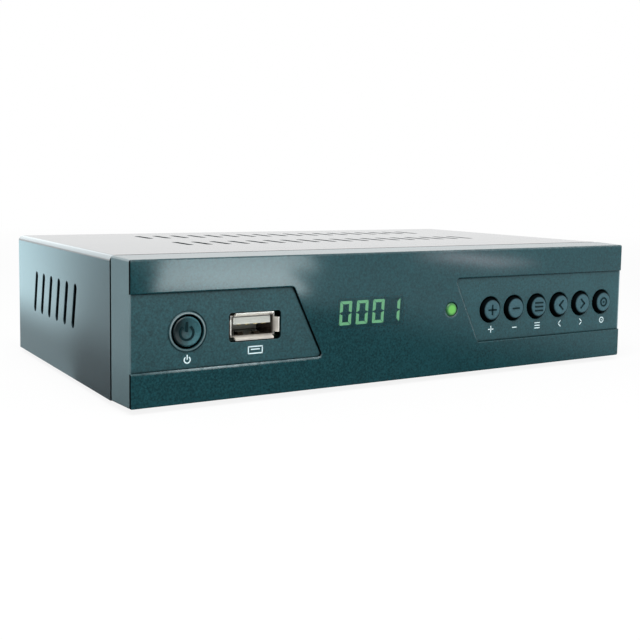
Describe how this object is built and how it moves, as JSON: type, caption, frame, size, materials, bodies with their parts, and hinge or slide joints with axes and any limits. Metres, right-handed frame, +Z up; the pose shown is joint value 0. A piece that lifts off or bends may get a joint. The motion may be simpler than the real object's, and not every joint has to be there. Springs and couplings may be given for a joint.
{
  "type": "satellite tv receiver",
  "caption": "Small satellite TV receiver: slotted folded steel cover on a tray, moulded front with glossy lens, lit display, push buttons, USB socket and rear sockets.",
  "frame": {"origin": "on the surface that the feet stand on, under the middle of the receiver and its rear sockets", "axes": "+X to the right as seen from the front, +Y to the back, +Z up"},
  "size_m": [0.176, 0.1151, 0.0395],
  "materials": {
    "cover_paint": "smooth semi-gloss dark grey lacquer",
    "chassis_steel": "bare zinc-plated sheet",
    "screw_black": "black coated steel",
    "screw_steel": "zinc-plated steel",
    "foot_rubber": "matte black rubber",
    "bezel_plastic": "fine-grained dark grey-green plastic",
    "lens_plastic": "glossy smoked blue-green plastic",
    "button_plastic": "satin dark grey-green plastic",
    "switch_plastic": "matte black plastic",
    "plunger_plastic": "matte off-white plastic",
    "board_green": "green solder resist",
    "display_black": "matte black plastic",
    "segment_lit": "glowing grey-green",
    "segment_unlit": "unlit grey",
    "led_body": "tinted clear resin",
    "guide_clear": "clear rod lit green",
    "receiver_dark": "dark filter resin",
    "socket_steel": "tin-plated steel",
    "tongue_white": "white plastic",
    "contact_gold": "gold-plated",
    "chip_black": "black moulding compound",
    "sink_aluminium": "black anodised",
    "capacitor_sleeve": "dark blue sleeve",
    "ferrite": "dark grey ferrite",
    "can_steel": "tin-plated steel",
    "header_white": "white plastic",
    "cable_grey": "grey ribbon",
    "insert_white": "white insulator",
    "socket_nickel": "nickel-plated brass",
    "rca_plastic": "orange moulding",
    "socket_black": "matte black plastic"
  },
  "bodies": {
    "receiver": {"top_cover": "cover_paint", "base_chassis": "chassis_steel", "cover_screws": "screw_black", "board_screws": "screw_steel", "rubber_feet": "foot_rubber", "front_bezel": "bezel_plastic", "front_lens": "lens_plastic", "key_switches": "switch_plastic", "front_board": "board_green", "front_board_screws": "screw_steel", "display_module": "display_black", "lit_segments": "segment_lit", "unlit_segments": "segment_unlit", "status_led": "led_body", "light_guide": "guide_clear", "ir_receiver": "receiver_dark", "usb_shell": "socket_steel", "usb_tongue": "tongue_white", "usb_contacts": "contact_gold", "usb_board": "board_green", "main_board": "board_green", "main_chip": "chip_black", "heat_sink": "sink_aluminium", "memory_chips": "chip_black", "electrolytic_capacitors": "capacitor_sleeve", "power_inductors": "ferrite", "crystal": "can_steel", "front_header": "header_white", "board_header": "header_white", "flat_cable": "cable_grey", "tuner_can": "can_steel", "tuner_lid": "can_steel", "f_connector": "socket_nickel", "f_insert": "insert_white", "f_nut": "socket_nickel", "rca_housing": "rca_plastic", "rca_shell": "socket_nickel", "hdmi_shell": "socket_steel", "hdmi_insert": "socket_black", "scart_housing": "socket_black", "scart_contacts": "contact_gold", "scart_shield": "socket_steel", "dc_jack": "socket_black", "dc_pin": "socket_nickel"},
    "power_key": {"power_button": "button_plastic", "power_plunger": "plunger_plastic"},
    "plus_key": {"plus_button": "button_plastic", "plus_plunger": "plunger_plastic"},
    "minus_key": {"minus_button": "button_plastic", "minus_plunger": "plunger_plastic"},
    "menu_key": {"menu_button": "button_plastic", "menu_plunger": "plunger_plastic"},
    "left_key": {"left_button": "button_plastic", "left_plunger": "plunger_plastic"},
    "right_key": {"right_button": "button_plastic", "right_plunger": "plunger_plastic"},
    "ok_key": {"ok_button": "button_plastic", "ok_plunger": "plunger_plastic"}
  },
  "joints": [
    {"name": "power_press", "type": "slide", "parent": "receiver", "child": "power_key", "axis": [0, 1, 0], "range_m": [0, 0.0004], "stiffness_N_per_m": 500},
    {"name": "plus_press", "type": "slide", "parent": "receiver", "child": "plus_key", "axis": [0, 1, 0], "range_m": [0, 0.0004], "stiffness_N_per_m": 500},
    {"name": "minus_press", "type": "slide", "parent": "receiver", "child": "minus_key", "axis": [0, 1, 0], "range_m": [0, 0.0004], "stiffness_N_per_m": 500},
    {"name": "menu_press", "type": "slide", "parent": "receiver", "child": "menu_key", "axis": [0, 1, 0], "range_m": [0, 0.0004], "stiffness_N_per_m": 500},
    {"name": "left_press", "type": "slide", "parent": "receiver", "child": "left_key", "axis": [0, 1, 0], "range_m": [0, 0.0004], "stiffness_N_per_m": 500},
    {"name": "right_press", "type": "slide", "parent": "receiver", "child": "right_key", "axis": [0, 1, 0], "range_m": [0, 0.0004], "stiffness_N_per_m": 500},
    {"name": "ok_press", "type": "slide", "parent": "receiver", "child": "ok_key", "axis": [0, 1, 0], "range_m": [0, 0.0004], "stiffness_N_per_m": 500}
  ]
}
